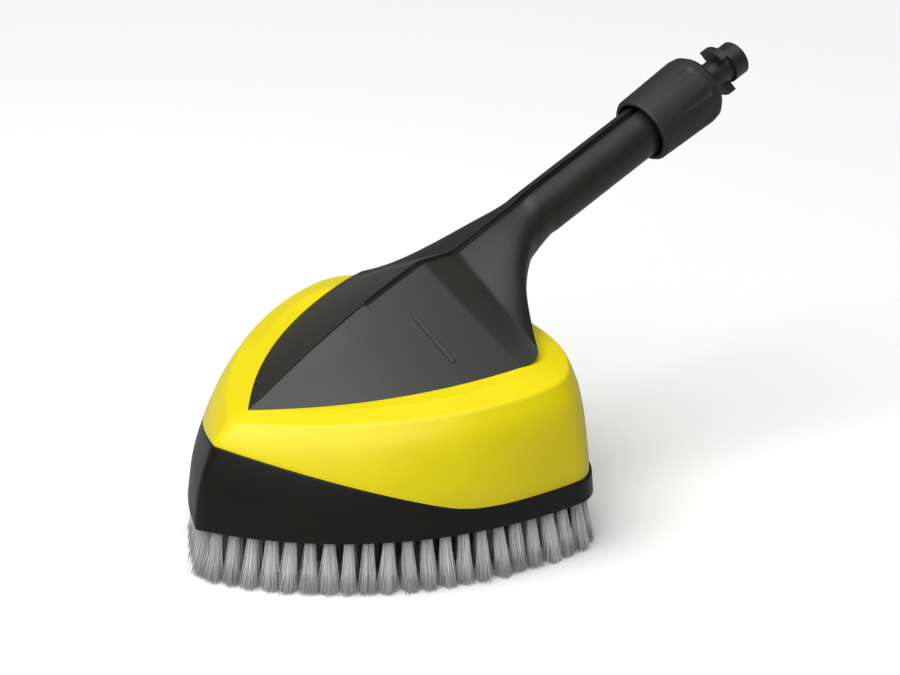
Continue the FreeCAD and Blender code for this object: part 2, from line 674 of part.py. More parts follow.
# ---------------------------------------------------------------- spray gear
pipe_turn = V(dim("pipe_x"), 0, 0)
pipe_turn.z = GRIP.z - (GRIP.x - pipe_turn.x) * math.tan(grip_slope)
PIPE_TOP = on_axis(13.5 - SHANK)
SOCKET_TOP = BAR.z + dim("bar_radius") + 10.0
OUTLET_LENGTH = 11.0


def pipe_solid(radius, overshoot=0.0):
    """Pipe from the spigot down the handle, round one bend and down to the spray bar."""
    bend = dim("pipe_bend")
    turn_angle = math.pi / 2 - grip_slope
    reach = bend * math.tan(turn_angle / 2)
    before = pipe_turn + AXIS * reach
    after = pipe_turn - V(0, 0, reach)
    start = PIPE_TOP + AXIS * overshoot
    finish = V(pipe_turn.x, 0, SOCKET_TOP - 8.0 - overshoot)
    normal = V(-math.sin(grip_slope), 0, math.cos(grip_slope))
    centre = before - normal * bend
    out = (pipe_turn - centre).normalize()
    arc = Part.Arc(before, centre + out * bend, after).toShape()
    path = Part.Wire([Part.makeLine(start, before), arc, Part.makeLine(after, finish)])
    ring = Part.Wire(Part.Circle(start, AXIS, radius).toShape())
    return path.makePipeShell([ring], True, False)


pipe = pipe_solid(dim("pipe_radius")).cut(pipe_solid(dim("pipe_bore"), 1.0))
feature("water_pipe", pipe)

bar = cylinder(dim("bar_radius"), 2 * dim("bar_half_length"),
               BAR - V(0, dim("bar_half_length"), 0), V(0, 1, 0))
socket = cylinder(dim("pipe_radius") + 3.2, SOCKET_TOP - BAR.z, BAR)
outlets = [cylinder(6.0, OUTLET_LENGTH, V(BAR.x, y, BAR.z), -UP) for y in nozzle_ys]
bar = bar.multiFuse([socket] + outlets)
bar_bore = cylinder(3.4, 2 * dim("bar_half_length") - 8,
                    BAR - V(0, dim("bar_half_length") - 4, 0), V(0, 1, 0))
socket_bore = cylinder(dim("pipe_radius") + 0.15, 8.4, V(BAR.x, 0, SOCKET_TOP - 8.3))
socket_way = cylinder(dim("pipe_bore"), SOCKET_TOP - BAR.z, BAR)
nozzle_bores = [cylinder(4.2, 8.4, V(BAR.x, y, BAR.z - OUTLET_LENGTH)) for y in nozzle_ys]
nozzle_ways = [cylinder(1.8, OUTLET_LENGTH, V(BAR.x, y, BAR.z - OUTLET_LENGTH))
               for y in nozzle_ys]
bar = bar.cut(Part.makeCompound([bar_bore, socket_bore, socket_way] + nozzle_bores + nozzle_ways))
seal_groove = cylinder(dim("pipe_radius") + 2.0, 3.0, V(BAR.x, 0, SOCKET_TOP - 5.0))
feature("spray_bar", bar.cut(seal_groove))
pipe_seal = seal_ring("pipe_seal", dim("pipe_radius") + 1.02, 0.95,
                      FreeCAD.Placement(V(BAR.x, 0, SOCKET_TOP - 3.5), FreeCAD.Rotation()))
keep(pipe_seal, "pipe_seal")

NOZZLE_TIP = BAR.z - OUTLET_LENGTH - 7.0
NOZZLE_NAMES = ["nozzle_left", "nozzle_centre", "nozzle_right"]
for name, y in zip(NOZZLE_NAMES, nozzle_ys):
    blank = turned_body(name + "_blank", [
        (0.9, 0), (3.0, 0), (4.2, 1.2), (4.2, 3.0), (6.0, 3.4), (6.0, 6.9),
        (4.05, 6.9), (4.05, 10.4), (3.1, 10.4), (3.1, 12.6), (4.05, 12.6), (4.05, 15.0), (0.9, 15.0)])
    slit = doc.addObject("Part::Box", name + "_slit")
    slit.Length = 1.0
    slit.Width = 12.0
    slit.Height = 1.6
    slit.Placement = FreeCAD.Placement(V(-0.5, -6.0, -0.2), FreeCAD.Rotation())
    nozzle = doc.addObject("Part::Cut", name + "_cut")
    nozzle.Base = blank
    nozzle.Tool = slit
    nozzle.Placement = FreeCAD.Placement(V(BAR.x, y, NOZZLE_TIP), FreeCAD.Rotation())
    keep(nozzle, name)
    ring = seal_ring("seal_" + name, 3.62, 0.45,
                     FreeCAD.Placement(V(BAR.x, y, NOZZLE_TIP + 11.5), FreeCAD.Rotation()))
    keep(ring, "seal_" + name)


def clamp(y):
    """Saddle over the spray bar with a foot on each side."""
    width = 10.0
    radius = dim("bar_radius")
    start = V(BAR.x, y - width / 2, BAR.z)
    arch = cylinder(radius + 2.2, width, start, V(0, 1, 0))
    foot = Part.makeBox(2 * CLAMP_FOOT_X + 8.0, width, 2.2,
                        V(BAR.x - CLAMP_FOOT_X - 4.0, y - width / 2, CLAMP_SEAT_Z))
    above = Part.makeBox(60, width, 30, V(BAR.x - 30, y - width / 2, CLAMP_SEAT_Z))
    return arch.common(above).fuse(foot).cut(cylinder(radius + 0.15, width, start, V(0, 1, 0)))


for name, y in zip(["bar_clamp_left", "bar_clamp_right"], clamp_ys):
    feature(name, clamp(y).cut(screw_holes(clamp_screw_places, -UP, 9.0)))

# ---------------------------------------------------------------- screws
SCREW_GROUPS = [
    ("plate_screws", plate_screw_places, UP, PLATE_SCREW_LENGTH),
    ("shell_screws", shell_screw_places, UP, SHELL_SCREW_LENGTH),
    ("cover_screws", cover_screw_places, UP, COVER_SCREW_LENGTH),
    ("handle_screws", handle_screw_places, SIDEWAYS, HANDLE_SCREW_LENGTH),
    ("clamp_screws", clamp_screw_places, -UP, 7.0),
]
for name, places, direction, length in SCREW_GROUPS:
    feature(name, Part.makeCompound([screw(place, direction, length) for place in places]))

doc.recompute()
os.makedirs("parts", exist_ok=True)
for obj in doc.Objects:
    if "Invalid" in obj.State or "Error" in obj.State:
        raise RuntimeError("not computed: " + obj.Name)
for obj in nodes:
    if obj.Shape.isNull() or not obj.Shape.isValid():
        raise RuntimeError("bad shape: " + obj.Label)
for obj in nodes:
    print(obj.Label, len(obj.Shape.Solids), round(obj.Shape.Volume / 1000, 1))
    obj.Shape.exportStep("parts/%s.step" % obj.Label)
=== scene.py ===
import json
import math
import random

import bmesh
import bpy
from mathutils import Matrix, Vector


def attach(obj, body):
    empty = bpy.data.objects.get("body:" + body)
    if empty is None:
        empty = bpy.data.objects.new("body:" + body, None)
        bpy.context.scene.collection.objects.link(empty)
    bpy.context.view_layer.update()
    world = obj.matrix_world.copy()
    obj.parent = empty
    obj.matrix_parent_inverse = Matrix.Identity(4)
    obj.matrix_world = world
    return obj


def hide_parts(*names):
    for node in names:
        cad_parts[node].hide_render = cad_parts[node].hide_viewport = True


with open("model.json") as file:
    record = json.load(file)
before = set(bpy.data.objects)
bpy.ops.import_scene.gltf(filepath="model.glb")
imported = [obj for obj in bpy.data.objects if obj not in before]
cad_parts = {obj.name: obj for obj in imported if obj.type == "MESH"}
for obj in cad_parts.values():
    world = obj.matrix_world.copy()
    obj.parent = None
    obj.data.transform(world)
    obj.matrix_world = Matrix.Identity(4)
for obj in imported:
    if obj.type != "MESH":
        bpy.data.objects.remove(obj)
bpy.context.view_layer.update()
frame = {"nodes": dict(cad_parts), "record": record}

# Wash brush for a pressure washer: a ring of grey bristles under an iron-shaped head,
# a black skirt, a yellow shell, a black cover that runs up into the handle, and a union nut.
# Shape tables are in millimetres; MM turns them into the frame's metres.

MM = 0.001
MERGE = 0.00001
SEED = 41
chance = random.Random(SEED)


# ---------------------------------------------------------------- shader groups
# noise scales, in cells to the metre
FINE_PITS = 1800.0
NUT_PITS = 1300.0
BROAD_CLOUDS = 22.0
FILAMENT_CLOUDS = 900.0
RUB_STREAKS = 60.0
RUB_PATCHES = 14.0
RUB_DULLS = 0.18


def new_group(name, inputs, outputs):
    """An empty shader group with named sockets, and its input and output nodes."""
    group = bpy.data.node_groups.new(name, "ShaderNodeTree")
    for label, kind, value in inputs:
        made = group.interface.new_socket(name=label, in_out="INPUT", socket_type=kind)
        if value is not None:
            made.default_value = value
    for label, kind in outputs:
        group.interface.new_socket(name=label, in_out="OUTPUT", socket_type=kind)
    entry = group.nodes.new("NodeGroupInput")
    leave = group.nodes.new("NodeGroupOutput")
    return group, entry, leave


def noise_node(tree, detail, roughness):
    node = tree.nodes.new("ShaderNodeTexNoise")
    node.inputs["Detail"].default_value = detail
    node.inputs["Roughness"].default_value = roughness
    return node


def range_node(tree, low, high, to_low=0.0, to_high=1.0):
    node = tree.nodes.new("ShaderNodeMapRange")
    node.inputs["From Min"].default_value = low
    node.inputs["From Max"].default_value = high
    node.inputs["To Min"].default_value = to_low
    node.inputs["To Max"].default_value = to_high
    return node


def times_node(tree):
    node = tree.nodes.new("ShaderNodeMath")
    node.operation = "MULTIPLY"
    return node


def make_mould_grain():
    """Spark-eroded mould texture: fine pits for the bump, and broad cloudy sheen changes."""
    group, entry, leave = new_group(
        "mould_grain",
        [("Place", "NodeSocketVector", None), ("Pit Scale", "NodeSocketFloat", FINE_PITS),
         ("Cloud Scale", "NodeSocketFloat", BROAD_CLOUDS)],
        [("Pits", "NodeSocketFloat"), ("Clouds", "NodeSocketFloat")])
    pits = noise_node(group, 3.0, 0.62)
    clouds = noise_node(group, 4.0, 0.55)
    spread = range_node(group, 0.36, 0.64)
    link = group.links.new
    link(entry.outputs["Place"], pits.inputs["Vector"])
    link(entry.outputs["Pit Scale"], pits.inputs["Scale"])
    link(entry.outputs["Place"], clouds.inputs["Vector"])
    link(entry.outputs["Cloud Scale"], clouds.inputs["Scale"])
    link(clouds.outputs["Fac"], spread.inputs["Value"])
    link(pits.outputs["Fac"], leave.inputs["Pits"])
    link(spread.outputs["Result"], leave.inputs["Clouds"])
    return group


def make_rub_marks():
    """Faint streaks from handling: long thin noise, kept to scattered patches."""
    group, entry, leave = new_group(
        "rub_marks",
        [("Place", "NodeSocketVector", None), ("Streak Scale", "NodeSocketFloat", RUB_STREAKS),
         ("Amount", "NodeSocketFloat", 0.5)],
        [("Marks", "NodeSocketFloat")])
    stretch = group.nodes.new("ShaderNodeMapping")
    stretch.inputs["Scale"].default_value = (0.35, 3.0, 3.0)
    stretch.inputs["Rotation"].default_value = (0.2, 0.4, 0.5)
    streaks = noise_node(group, 6.0, 0.7)
    thin = range_node(group, 0.56, 0.72)
    patches = noise_node(group, 2.0, 0.5)
    patches.inputs["Scale"].default_value = RUB_PATCHES
    where = range_node(group, 0.45, 0.65)
    both = times_node(group)
    scaled = times_node(group)
    link = group.links.new
    link(entry.outputs["Place"], stretch.inputs["Vector"])
    link(stretch.outputs["Vector"], streaks.inputs["Vector"])
    link(entry.outputs["Streak Scale"], streaks.inputs["Scale"])
    link(streaks.outputs["Fac"], thin.inputs["Value"])
    link(entry.outputs["Place"], patches.inputs["Vector"])
    link(patches.outputs["Fac"], where.inputs["Value"])
    link(thin.outputs["Result"], both.inputs[0])
    link(where.outputs["Result"], both.inputs[1])
    link(both.outputs["Value"], scaled.inputs[0])
    link(entry.outputs["Amount"], scaled.inputs[1])
    link(scaled.outputs["Value"], leave.inputs["Marks"])
    return group


MOULD_GRAIN = make_mould_grain()
RUB_MARKS = make_rub_marks()


# ---------------------------------------------------------------- materials
def place_group(material, group, **values):
    """A shader group in a material, with values for its inputs by name."""
    node = material.node_tree.nodes.new("ShaderNodeGroup")
    node.node_tree = group
    for label, value in values.items():
        node.inputs[label.replace("_", " ")].default_value = value
    return node


def mix_colours(material, factor, dark, light):
    """A colour that goes from dark to light as the factor goes from 0 to 1."""
    mix = material.node_tree.nodes.new("ShaderNodeMix")
    mix.data_type = "RGBA"
    mix.inputs["A"].default_value = (*dark, 1)
    mix.inputs["B"].default_value = (*light, 1)
    material.node_tree.links.new(factor, mix.inputs["Factor"])
    return mix.outputs["Result"]


def moulded(name, dark, light, roughness, rough_spread=0.08, pit_scale=FINE_PITS,
            pit_depth=0.00002, marks=0.35, specular=0.5, metal=0.0):
    """A moulded or metal surface: clouded colour, pitted bump and faint rub marks."""
    material = bpy.data.materials.new(name)
    material.use_nodes = True
    tree = material.node_tree
    shader = tree.nodes["Principled BSDF"]
    shader.inputs["Specular IOR Level"].default_value = specular
    shader.inputs["Metallic"].default_value = metal
    place = tree.nodes.new("ShaderNodeTexCoord").outputs["Object"]
    grain = place_group(material, MOULD_GRAIN, Pit_Scale=pit_scale)
    rubs = place_group(material, RUB_MARKS, Amount=marks)
    tree.links.new(place, grain.inputs["Place"])
    tree.links.new(place, rubs.inputs["Place"])
    colour = mix_colours(material, grain.outputs["Clouds"], dark, light)
    tree.links.new(colour, shader.inputs["Base Color"])
    rough = range_node(tree, 0.0, 1.0, roughness - rough_spread / 2, roughness + rough_spread / 2)
    tree.links.new(grain.outputs["Clouds"], rough.inputs["Value"])
    rubbed = tree.nodes.new("ShaderNodeMath")
    rubbed.operation = "MULTIPLY_ADD"
    rubbed.inputs[1].default_value = RUB_DULLS
    tree.links.new(rubs.outputs["Marks"], rubbed.inputs[0])
    tree.links.new(rough.outputs["Result"], rubbed.inputs[2])
    tree.links.new(rubbed.outputs["Value"], shader.inputs["Roughness"])
    bump = tree.nodes.new("ShaderNodeBump")
    bump.inputs["Distance"].default_value = pit_depth
    bump.inputs["Strength"].default_value = 1.0
    tree.links.new(grain.outputs["Pits"], bump.inputs["Height"])
    tree.links.new(bump.outputs["Normal"], shader.inputs["Normal"])
    return material


def bristle_material():
    """Grey nylon filament: every filament has its own random tone, paler towards its tip; the
    darker roots are painted shade under the head.
    """
    material = bpy.data.materials.new("bristle_nylon")
    material.use_nodes = True
    tree = material.node_tree
    shader = tree.nodes["Principled BSDF"]
    shader.inputs["Specular IOR Level"].default_value = 0.35
    # random tone per filament, darkened towards the root as painted shade under the head
    shade = tree.nodes.new("ShaderNodeAttribute")
    shade.attribute_name = "filament_tone_and_painted_shade"
    colour = mix_colours(material, shade.outputs["Fac"],
                         (0.66, 0.66, 0.665), (0.97, 0.97, 0.975))
    tree.links.new(colour, shader.inputs["Base Color"])
    place = tree.nodes.new("ShaderNodeTexCoord").outputs["Object"]
    grain = place_group(material, MOULD_GRAIN, Cloud_Scale=FILAMENT_CLOUDS)
    tree.links.new(place, grain.inputs["Place"])
    rough = range_node(tree, 0.0, 1.0, 0.42, 0.6)
    tree.links.new(grain.outputs["Clouds"], rough.inputs["Value"])
    tree.links.new(rough.outputs["Result"], shader.inputs["Roughness"])
    return material


YELLOW = moulded("yellow_shell_plastic", (0.73, 0.610, 0.003), (0.76, 0.640, 0.005), 0.36,
                 rough_spread=0.05, pit_depth=0.000006, marks=0.25, specular=0.3)
CASING = moulded("black_casing_plastic", (0.0105, 0.010, 0.0095), (0.010, 0.0096, 0.0088), 0.40,
                 pit_depth=0.000012, marks=0.4, specular=0.16)
HANDLE = moulded("handle_plastic", (0.0125, 0.0120, 0.0112), (0.0165, 0.016, 0.015), 0.44,
                 pit_depth=0.00002, marks=0.4, specular=0.4)
NUT = moulded("nut_plastic", (0.014, 0.0138, 0.0132), (0.019, 0.0185, 0.0175), 0.62,
              pit_scale=NUT_PITS, pit_depth=0.00007, marks=0.3)
SPIGOT = moulded("spigot_plastic", (0.012, 0.0118, 0.011), (0.017, 0.0165, 0.0155), 0.42,
                 pit_depth=0.00001)
PLATE = moulded("plate_plastic", (0.012, 0.012, 0.012), (0.018, 0.018, 0.018), 0.5)
WASHER = moulded("washer_plastic", (0.55, 0.55, 0.52), (0.62, 0.62, 0.6), 0.4)
STEEL = moulded("zinc_plated_steel", (0.56, 0.56, 0.56), (0.68, 0.68, 0.67), 0.3, metal=1.0,
                pit_depth=0.000004)
RUBBER = moulded("seal_rubber", (0.010, 0.010, 0.010), (0.016, 0.016, 0.016), 0.7,
                 pit_depth=0.00003)
PIPE = moulded("pipe_plastic", (0.60, 0.60, 0.57), (0.68, 0.68, 0.65), 0.35)
INNER = moulded("inner_plastic", (0.035, 0.036, 0.038), (0.05, 0.05, 0.052), 0.45)
BRASS = moulded("nozzle_brass", (0.66, 0.46, 0.20), (0.76, 0.56, 0.27), 0.25, metal=1.0,
                pit_depth=0.000004)
BRISTLE = bristle_material()
FINISHES = {
    "black_casing": CASING, "plate_plastic": PLATE, "yellow_shell": YELLOW,
    "handle_plastic": HANDLE, "nut_plastic": NUT, "washer_plastic": WASHER, "steel": STEEL,
    "spigot_plastic": SPIGOT, "seal_rubber": RUBBER, "pipe_plastic": PIPE,
    "inner_plastic": INNER, "nozzle_brass": BRASS, "bristle": BRISTLE,
}


def dress_cad_nodes():
    """Give each node of the frame the finish of its material slot."""
    slot_of = {part["node"]: part["material_slot"] for part in frame["record"]["subparts"]}
    for name, node in frame["nodes"].items():
        finish = FINISHES[slot_of[name]]
        if not node.data.materials:
            node.data.materials.append(finish)
        for index in range(len(node.material_slots)):
            node.material_slots[index].material = finish


dress_cad_nodes()


# ---------------------------------------------------------------- mesh helpers
def finished(bm, name, material, body, nodes):
    """Turn a bmesh in metres into a piece that rides on a body and stands for CAD nodes."""
    mesh = bpy.data.meshes.new(name)
    bm.to_mesh(mesh)
    bm.free()
    mesh.materials.append(material)
    mesh.shade_smooth()
    piece = bpy.data.objects.new(name, mesh)
    bpy.context.scene.collection.objects.link(piece)
    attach(piece, body)
    if nodes:
        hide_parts(*nodes)
    return piece


def loft(bm, rings):
    """Skin through closed rings of equal length, each drawn out of the one before.

    It returns the edges of the first ring and of the last.
    """
    order = bm.verts.layers.int.get("order") or bm.verts.layers.int.new("order")
    start = []
    for index, point in enumerate(rings[0]):
        vert = bm.verts.new(Vector(point) * MM)
        vert[order] = index
        start.append(vert)
    count = len(start)
    edges = [bm.edges.new((start[i], start[(i + 1) % count])) for i in range(count)]
    first_edges = list(edges)
    for ring in rings[1:]:
        made = bmesh.ops.extrude_edge_only(bm, edges=edges)["geom"]
        edges = [g for g in made if isinstance(g, bmesh.types.BMEdge)]
        for vert in made:
            if isinstance(vert, bmesh.types.BMVert):
                vert.co = Vector(ring[vert[order]]) * MM
    return first_edges, edges


def cap(bm, edges):
    """One face over an open ring of edges."""
    bmesh.ops.contextual_create(bm, geom=edges)


def close_up(bm):
    """Merge doubles, then turn every face outwards."""
    bmesh.ops.remove_doubles(bm, verts=bm.verts, dist=MERGE)
    bmesh.ops.recalc_face_normals(bm, faces=bm.faces)


def weighted(piece):
    """Shade by the largest faces, so that flats stay flat beside small rounded edges."""
    modifier = piece.modifiers.new("face_weights", "WEIGHTED_NORMAL")
    modifier.mode = "FACE_AREA"
    modifier.weight = 50
    modifier.keep_sharp = True


# ---------------------------------------------------------------- plan outlines of the head
NOSE = -211.8
WIDE = NOSE + 184.0
HALF = 116.0
REAR = NOSE + 227.3
EDGE_Z = 32.2
# nose x and z, slope of the plane, half width, widest x, rear x, nose half-angle
LEVELS = [
    (NOSE, EDGE_Z, 0.0, HALF, WIDE, REAR, 64.9),
    (NOSE + 3.4, EDGE_Z + 21.8, 0.035, HALF - 1.6, WIDE - 3.0, REAR - 0.8, 63.5),
    (NOSE + 14.0, EDGE_Z + 46.2, 0.070, HALF - 6.6, WIDE - 8.0, REAR - 3.0, 60.5),
    (NOSE + 24.7, EDGE_Z + 57.4, 0.094, HALF - 12.4, WIDE - 11.4, REAR - 6.3, 58.6),
]
SIDE_STEPS = 64
FRONT_SHARE = 0.68
# how far the handles of the outline's curves reach, as shares of its front, its tail or its width
NOSE_PULL = 0.583
SHOULDER_PULL = 0.273
TAIL_PULL = 0.507
REAR_PULL = 0.621
HALVINGS = 24


def bezier(poles, t):
    """Point on a cubic curve."""
    a, b, c, d = poles
    s = 1 - t
    return a * s ** 3 + b * (3 * s * s * t) + c * (3 * s * t * t) + d * t ** 3


def arc(start, corner, end, t):
    """Point on the curve that rounds a corner off, t from 0 at its start to 1 at its end."""
    return start * (1 - t) ** 2 + corner * (2 * t * (1 - t)) + end * t ** 2


def half_outline(level, share, inset=0.0):
    """Point on one half of a drop outline: share 0 is the nose and 1 the rear."""
    nose_x, nose_z, slope, half_width, wide_x, rear_x, degrees = level
    angle = math.radians(degrees)
    nose_x = nose_x + inset / math.sin(angle)
    half_width = half_width - inset
    rear_x = rear_x - inset
    reach = wide_x - nose_x
    tail = rear_x - wide_x
    if share <= FRONT_SHARE:
        poles = [Vector((nose_x, 0)),
                 Vector((nose_x + NOSE_PULL * reach * math.cos(angle),
                         NOSE_PULL * reach * math.sin(angle))),
                 Vector((wide_x - SHOULDER_PULL * reach, half_width)),
                 Vector((wide_x, half_width))]
        flat = bezier(poles, share / FRONT_SHARE)
    else:
        poles = [Vector((wide_x, half_width)), Vector((wide_x + TAIL_PULL * tail, half_width)),
                 Vector((rear_x, REAR_PULL * half_width)), Vector((rear_x, 0))]
        flat = bezier(poles, (share - FRONT_SHARE) / (1 - FRONT_SHARE))
    rise = nose_z + slope * (flat.x - level[0])
    return Vector((flat.x, flat.y, rise))


SHARES = [(index / SIDE_STEPS) for index in range(SIDE_STEPS + 1)]


def whole_ring(place):
    """A closed ring from place(share) of one half: near side, rear, then the far side."""
    half = [place(share) for share in SHARES]
    near = [Vector((p.x, -p.y, p.z)) for p in half]
    far = [Vector(p) for p in half[1:-1]]
    far.reverse()
    return near + far


def spline(points, knots, u):
    """Smooth curve through points at rising knots, with slopes from the neighbours."""
    last = len(points) - 1
    i = 0
    while i < last - 1 and u > knots[i + 1]:
        i += 1

    def slope(k):
        low, high = max(k - 1, 0), min(k + 1, last)
        return (points[high] - points[low]) / (knots[high] - knots[low])

    width = knots[i + 1] - knots[i]
    t = (u - knots[i]) / width
    return (points[i] * (2 * t ** 3 - 3 * t ** 2 + 1)
            + slope(i) * (width * (t ** 3 - 2 * t ** 2 + t))
            + points[i + 1] * (3 * t ** 2 - 2 * t ** 3)
            + slope(i + 1) * (width * (t ** 3 - t ** 2)))


LEVEL_KNOTS = [0.0, 22.0, 48.0, 63.5]
WALL_TOP = LEVEL_KNOTS[-1]


def wall_point(share, u, inset=0.0):
    """Point on the head's outer wall; u runs from 0 at the skirt's edge to the top bevel."""
    points = [half_outline(level, share, inset) for level in LEVELS]
    return spline(points, LEVEL_KNOTS, u)


# corners of the parting line, x and z
PARTING = [(NOSE - 20, 90.0), (NOSE + 14.0, 78.4), (NOSE + 92.0, 51.4),
           (NOSE + 104.0, 47.6), (NOSE + 116.0, 45.6), (NOSE + 132.0, 44.8), (NOSE + 260, 44.8)]


def parting_height(x):
    """Height of the line between the black skirt and the yellow shell."""
    for (x0, z0), (x1, z1) in zip(PARTING, PARTING[1:]):
        if x <= x1:
            return z0 + (z1 - z0) * (x - x0) / (x1 - x0)
    return PARTING[-1][1]


def parting_u(share):
    """Where the parting line crosses the wall at this share of the outline."""
    low, high = 0.0, WALL_TOP
    for _ in range(HALVINGS):
        middle = (low + high) / 2
        point = wall_point(share, middle)
        if point.z < parting_height(point.x):
            low = middle
        else:
            high = middle
    return low


PARTING_U = {share: parting_u(share) for share in SHARES}


def smooth_step(low, high, value):
    """0 up to low and 1 from high on, with a smooth rise between."""
    t = min(max((value - low) / (high - low), 0.0), 1.0)
    return t * t * (3 - 2 * t)


# ---------------------------------------------------------------- skirt
WALL = 2.6
DECK_LOW = 42.4
DECK_HIGH = 44.8
WALL_PORTIONS = (0.02, 0.08, 0.2, 0.35, 0.5, 0.65, 0.8, 0.92)


def skirt_piece():
    """Black base: outer wall with rounded rims, and the deck that closes it inside."""
    def on_wall(portion):
        return lambda share: wall_point(share, PARTING_U[share] * portion)

    def rim(inset, drop):
        return lambda share: wall_point(share, PARTING_U[share] - drop, inset)

    def flat(inset, height):
        def place(share):
            point = half_outline(LEVELS[0], share, inset)
            return Vector((point.x, point.y, height))
        return place

    places = [flat(WALL, DECK_LOW), flat(WALL, EDGE_Z + 0.4), flat(WALL - 0.4, EDGE_Z),
              flat(0.5, EDGE_Z), flat(0.15, EDGE_Z + 0.15)]
    places += [on_wall(portion) for portion in WALL_PORTIONS]
    places += [rim(0.0, 0.5), rim(0.15, 0.12), rim(0.5, 0.0), rim(WALL - 0.2, 0.0),
               rim(WALL, 0.2)]
    places += [flat(WALL + 1.5, DECK_HIGH)]
    bm = bmesh.new()
    first, last = loft(bm, [whole_ring(place) for place in places])
    cap(bm, first)
    cap(bm, last)
    close_up(bm)
    weighted(finished(bm, "skirt_casing", CASING, "root", ["base_skirt"]))


# ---------------------------------------------------------------- yellow shell
ROOF_TIP_X = -173.6
ROOF_TIP_Z = 93.4
CORNER = Vector((-30.8, 84.5, 109.8))
ROOF_SLOPE = (CORNER.z - ROOF_TIP_Z) / (CORNER.x - ROOF_TIP_X)
ROOF = (ROOF_TIP_X, ROOF_TIP_Z, ROOF_SLOPE, HALF - 31.0, WIDE - 30.0, REAR - 22.0, 54.2)
SHELL_GAP = 0.35
STEP_DEPTH = 1.5
STEP_FROM_X = -120.0
STEP_TO_X = -40.0
STEP_FADE = 0.75
SHOULDER_REACH = 2.0
SIDE_COUNT = 12


def shell_piece():
    """Yellow shell: side wall, rounded shoulder, bright top bevel and the flat under the cover."""
    def step_in(share, u):
        """How far the side stands in from the skirt: nothing at the nose."""
        return STEP_DEPTH * smooth_step(STEP_FROM_X, STEP_TO_X, wall_point(share, u).x)

    def side(portion):
        def place(share):
            start = PARTING_U[share] + SHELL_GAP
            u = start + (WALL_TOP - start) * portion
            fade = 1 - smooth_step(0.0, STEP_FADE, portion)
            return wall_point(share, u, step_in(share, u) * fade)
        return place

    def lip(inset, lift):
        def place(share):
            start = PARTING_U[share] + SHELL_GAP
            return wall_point(share, start + lift, step_in(share, start) + inset)
        return place

    def bevel(portion):
        def place(share):
            start = wall_point(share, WALL_TOP)
            edge = half_outline(ROOF, share)
            return start + (edge - start) * portion
        return place

    def shoulder(turn):
        """Rounded corner between the wall and the bevel, turn from 0 to 1."""
        def place(share):
            before = wall_point(share, WALL_TOP - SHOULDER_REACH)
            corner = wall_point(share, WALL_TOP)
            towards = (half_outline(ROOF, share) - corner).normalized()
            return arc(before, corner, corner + towards * SHOULDER_REACH, turn)
        return place

    def roof(inset):
        return lambda share: half_outline(ROOF, share, inset)

    places = [lip(WALL, 2.0), lip(WALL, 0.0), lip(0.5, 0.0), lip(0.12, 0.12)]
    places += [side(index / SIDE_COUNT) for index in range(1, SIDE_COUNT - 1)]
    places += [shoulder(turn) for turn in (0.0, 0.2, 0.4, 0.6, 0.8, 1.0)]
    places += [bevel(portion) for portion in (0.3, 0.5, 0.7, 0.9, 0.98)]
    places += [roof(0.3), roof(3.0)]
    bm = bmesh.new()
    _, last = loft(bm, [whole_ring(place) for place in places])
    cap(bm, last)
    close_up(bm)
    weighted(finished(bm, "yellow_shell", YELLOW, "root", ["top_shell"]))


# ---------------------------------------------------------------- cover, neck and handle
GRIP = Vector((126.9, 0.0, 187.7))
GRIP_SLOPE = math.radians(20.06)
AXIS = Vector((math.cos(GRIP_SLOPE), 0.0, math.sin(GRIP_SLOPE)))
GRIP_UP = Vector((-math.sin(GRIP_SLOPE), 0.0, math.cos(GRIP_SLOPE)))
GRIP_RADIUS = 15.8
GRIP_START = -86.0
GRIP_END = 14.0
BEND_FRONT = Vector((-47.1, 0.0, 149.7))
BEND_REAR = Vector((-20.9, 0.0, 149.1))
RIDGE_RISE = 4.2
EDGE_BOW = 14.5
GROOVE_FRONT_X = -88.1
GROOVE_HALF = 2.4
GROOVE_DEPTH = 4.4
GRIP_TAPER = 8
GRIP_MIDDLE = 40
LIP_EASE = 0.35
EDGE_EASE = 0.7
SEAM_HALF = 0.12
SEAM_DEPTH = 0.5
CIRCLE = 0.5523
# top point x and z, side corner x, y and z, share below the corner, roundness
NECK = [
    (-20.9, 149.1, -27.6, 77.5, 114.6, 0.12, 0.0),
    (-7.0, 154.3, -17.5, 62.0, 120.0, 0.10, 0.25),
    (8.0, 159.8, 0.0, 38.0, 132.0, 0.35, 0.65),
    (26.0, 166.4, 22.0, 20.5, 144.3, 0.80, 0.95),
]
FLANK_STEPS = 60
UPPER_STEPS = 18
LOWER_STEPS = 10
RIDGE_STEPS = 26
NECK_STEPS = 7
GRIP_STEPS = 3
BEND_SHARES = (0.0, 0.07, 0.2, 0.35, 0.5, 0.65, 0.8, 0.93)
TIP = Vector((ROOF_TIP_X, 0.0, ROOF_TIP_Z))
CORNER_START = 0.93


def ridge_point(t):
    """Point of the cover's ridge, t from 0 at its tip to 1 at the front bend."""
    point = TIP.lerp(BEND_FRONT, t)
    point.z += 4 * RIDGE_RISE * t * (1 - t)
    return point


def edge_point(t):
    """Point of the cover's lower edge, t from 0 at its tip to 1 at the rear corner."""
    chord = CORNER - TIP
    outward = Vector((-chord.y, chord.x, 0)).normalized()
    point = TIP.lerp(CORNER, t) + outward * (4 * EDGE_BOW * t * (1 - t))
    point.z = ROOF_TIP_Z + ROOF_SLOPE * (point.x - ROOF_TIP_X)
    return point


def corner_point(u):
    """Rounded rear corner of the cover, u from 0 on its lower edge to 1 on the neck's edge."""
    start = edge_point(CORNER_START)
    end = Vector(NECK[0][2:5])
    return start * (1 - u) ** 2 + CORNER * (2 * u * (1 - u)) + end * u * u


